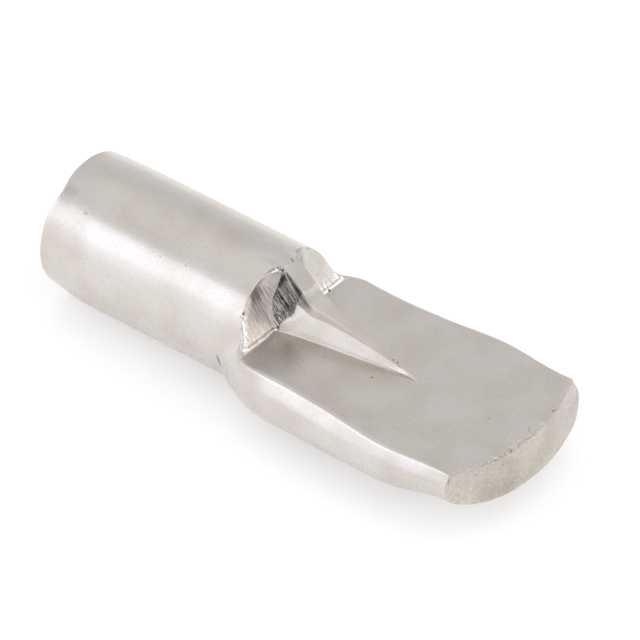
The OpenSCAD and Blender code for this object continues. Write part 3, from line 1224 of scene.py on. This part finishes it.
@dataclass
class Studio:
    """White table, white tent, four softboxes, dark panels and the camera."""

    middle: Vector
    floor_z: float
    azimuth: float = -54.15
    elevation: float = 37.62
    roll: float = 3.03
    distance: float = 0.2
    lens: float = 345.68
    table_half: float = 0.9
    table_white: float = 0.82
    # Light that the table gives off to the camera, so that it is white where nothing shades it
    table_lift: float = 0.33
    tent_r: float = 0.6
    # Brightness of the tent's cloth at shares of its height
    tent_levels: tuple[tuple[float, float], ...] = (
        (0.0, 0.92), (0.35, 0.79), (0.61, 0.735), (0.72, 0.79), (0.85, 0.93))
    # Two panels stand, and the second lies flat behind the first
    panels: tuple[Panel, ...] = (
        Panel((0.0055, -0.0259), (0.0195, -0.0179), (0.0, 0.0, 0.0112)),
        Panel((0.0055, -0.0259), (0.0195, -0.0179), (0.002, 0.015, 0.0001)),
        Panel((0.0195, -0.0179), (0.0254, -0.0075), (0.0, 0.0, 0.006)))
    lamp_reach: float = 0.3
    softboxes: tuple[Softbox, ...] = (
        Softbox("left_softbox", -115, 22, (62, 44), 0.4, (1, 1.05, 1.22)),
        Softbox("left_core", -115, 28, (54, 30), 0.42, (1, 1.05, 1.22)),
        Softbox("right_softbox", -10, 25, (56, 14), 2.1, (1, 1.03, 1.12)),
        Softbox("low_softbox", 38, 9, (36, 12), 1.5, (1, 1, 1)))

    def facing(self, azimuth: float, elevation: float, distance: float) -> Matrix:
        """Place and turn of something that looks at the pin's middle.

        Args:
            azimuth: Its direction from the pin, in degrees.
            elevation: Its height above the horizon, in degrees.
            distance: How far away it is.

        Returns:
            Its matrix.
        """
        a, e = radians(azimuth), radians(elevation)
        back = Vector((cos(a) * cos(e), sin(a) * cos(e), sin(e)))
        right = Vector((0, 0, 1)).cross(back).normalized()
        turn = Matrix((right, back.cross(right), back)).transposed().to_4x4()
        return Matrix.Translation(self.middle + distance * back) @ turn

    def build_camera(self) -> None:
        """Set up the camera, which looks at the pin's middle."""
        data = bpy.data.cameras.new("camera")
        data.lens, data.sensor_width = self.lens, 36.0
        data.clip_start, data.clip_end = 0.01, 10.0
        camera = bpy.data.objects.new("camera", data)
        place = self.facing(self.azimuth, self.elevation, self.distance)
        camera.matrix_world = place @ Matrix.Rotation(radians(self.roll), 4, "Z")
        bpy.context.scene.collection.objects.link(camera)
        bpy.context.scene.camera = camera

    def build_softbox(self, box: Softbox) -> None:
        """Hang a softbox that faces the pin.

        Args:
            box: The softbox.
        """
        width, height = (2 * self.lamp_reach * tan(radians(angle / 2)) for angle in box.size)
        data = bpy.data.lights.new(box.name, "AREA")
        data.shape, data.size, data.size_y = "RECTANGLE", width, height
        data.energy = box.radiance * pi * width * height
        data.color = box.tint
        lamp = bpy.data.objects.new(box.name, data)
        lamp.matrix_world = self.facing(box.azimuth, box.elevation, self.lamp_reach)
        lamp.visible_camera = False
        bpy.context.scene.collection.objects.link(lamp)

    def stage_piece(self, name: str, form: bmesh.types.BMesh, material: bpy.types.Material
                    ) -> bpy.types.Object:
        """Add something that isn't part of the pin.

        Args:
            name: Name of the object.
            form: Its mesh, which is freed.
            material: Its material.

        Returns:
            The object.
        """
        mesh = bpy.data.meshes.new(name)
        form.to_mesh(mesh)
        form.free()
        mesh.materials.append(material)
        thing = bpy.data.objects.new(name, mesh)
        bpy.context.scene.collection.objects.link(thing)
        return thing

    def build_floor(self) -> None:
        """Lay a white table that keeps the pin's shadow and is white where the pin doesn't shade it."""
        material, tree = blank_material("white_table")
        lift = add_math(tree, "MULTIPLY", self.seen_directly(tree), self.table_lift)
        paint = add_node(tree, "ShaderNodeBsdfDiffuse", {"Color": (*(self.table_white,) * 3, 1)})
        glow = add_node(tree, "ShaderNodeEmission", {"Strength": lift})
        both = add_node(tree, "ShaderNodeAddShader", {0: paint.outputs[0], 1: glow.outputs[0]})
        add_node(tree, "ShaderNodeOutputMaterial", {"Surface": both.outputs[0]})
        form = bmesh.new()
        bmesh.ops.create_grid(form, x_segments=1, y_segments=1, size=self.table_half,
                              matrix=Matrix.Translation((self.middle.x, self.middle.y, self.floor_z)))
        self.stage_piece("table", form, material)

    def seen_directly(self, tree: Tree) -> Socket:
        """Mask of the rays by which the camera sees the background, also through metal or glass.

        Args:
            tree: Node tree to add to.

        Returns:
            Socket that is 1 for those rays.
        """
        rays = add_node(tree, "ShaderNodeLightPath").outputs
        metal = add_math(tree, "MAXIMUM", rays["Is Camera Ray"], rays["Is Glossy Ray"])
        return add_math(tree, "MAXIMUM", metal, rays["Is Transmission Ray"])

    def build_tent(self) -> None:
        """Put up a light tent: translucent white cloth, lit from outside, which only lights and reflects."""
        material, tree = blank_material("tent_cloth")
        material.cycles.emission_sampling = "NONE"
        place = add_node(tree, "ShaderNodeTexCoord").outputs["Object"]
        height = add_node(tree, "ShaderNodeSeparateXYZ", {0: place}).outputs["Z"]
        light = add_node(tree, "ShaderNodeValToRGB", {0: height})
        for k, (at, level) in enumerate(self.tent_levels):
            stops = light.color_ramp.elements
            stop = stops[k] if k < 2 else stops.new(at * self.tent_r)
            stop.position, stop.color = at * self.tent_r, (level, level, level, 1)
        glow = add_node(tree, "ShaderNodeEmission", {"Color": light.outputs[0], "Strength": 1.0})
        add_node(tree, "ShaderNodeOutputMaterial", {"Surface": glow.outputs[0]})
        form = bmesh.new()
        bmesh.ops.create_icosphere(form, subdivisions=4, radius=self.tent_r)
        tent = self.stage_piece("tent", form, material)
        tent.location = self.middle
        tent.visible_camera = False
        tent.visible_shadow = False

    def build_flag(self) -> None:
        """Set black panels on the table in front of the pin, which give the metal its dark accents."""
        material, tree = blank_material("black_card")
        black = add_node(tree, "ShaderNodeEmission", {"Color": (0.96, 1, 0.96, 1), "Strength": 0.05})
        add_node(tree, "ShaderNodeOutputMaterial", {"Surface": black.outputs[0]})
        form = bmesh.new()
        foot = Vector((self.middle.x, self.middle.y, self.floor_z))
        for panel in self.panels:
            left, right = (foot + Vector((*end, 0)) for end in (panel.left, panel.right))
            rise = Vector(panel.leaf)
            turn = Matrix((right - left, rise, (right - left).cross(rise).normalized())).transposed().to_4x4()
            bmesh.ops.create_grid(form, x_segments=1, y_segments=1, size=0.5,
                                  matrix=Matrix.Translation((left + right + rise) / 2) @ turn)
        flag = self.stage_piece("flag", form, material)
        flag.visible_camera = False
        flag.visible_shadow = False
        flag.visible_diffuse = False

    def build_world(self) -> None:
        """Make everything beyond the table white."""
        world = bpy.data.worlds.new("white_room")
        bpy.context.scene.world = world
        world.use_nodes = True
        tree = world.node_tree
        tree.nodes.clear()
        strength = add_range(tree, self.seen_directly(tree), 0.0, 1.0, 0.8, 1.0)
        sky = add_node(tree, "ShaderNodeBackground", {"Color": (1, 1, 1, 1), "Strength": strength})
        add_node(tree, "ShaderNodeOutputWorld", {"Surface": sky.outputs[0]})

    def build(self) -> None:
        """Set up the whole studio."""
        self.build_camera()
        self.build_floor()
        self.build_tent()
        self.build_flag()
        for box in self.softboxes:
            self.build_softbox(box)
        self.build_world()
        bpy.context.scene.view_settings.view_transform = "Standard"


def main() -> None:
    """Build the pin and its studio in order."""
    logging.basicConfig(level=logging.INFO, format="%(name)s: %(message)s")
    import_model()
    low, high = (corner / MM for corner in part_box(NODE))
    form = PinForm(rear_x=low.x, tip_x=high.x, shank_r=high.z)
    skin = PinSkin(form)
    pin = skin.build()
    for zone in Zone:
        pin.data.materials.append(FINISHES[zone].build())
    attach(pin, "root")
    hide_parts(NODE)
    LOG.info("%s: %d vertices, %d faces", pin.name, len(pin.data.vertices), len(pin.data.polygons))
    Studio(middle=MIDDLE * MM, floor_z=low.z * MM).build()


if __name__ == "__main__":
    main()
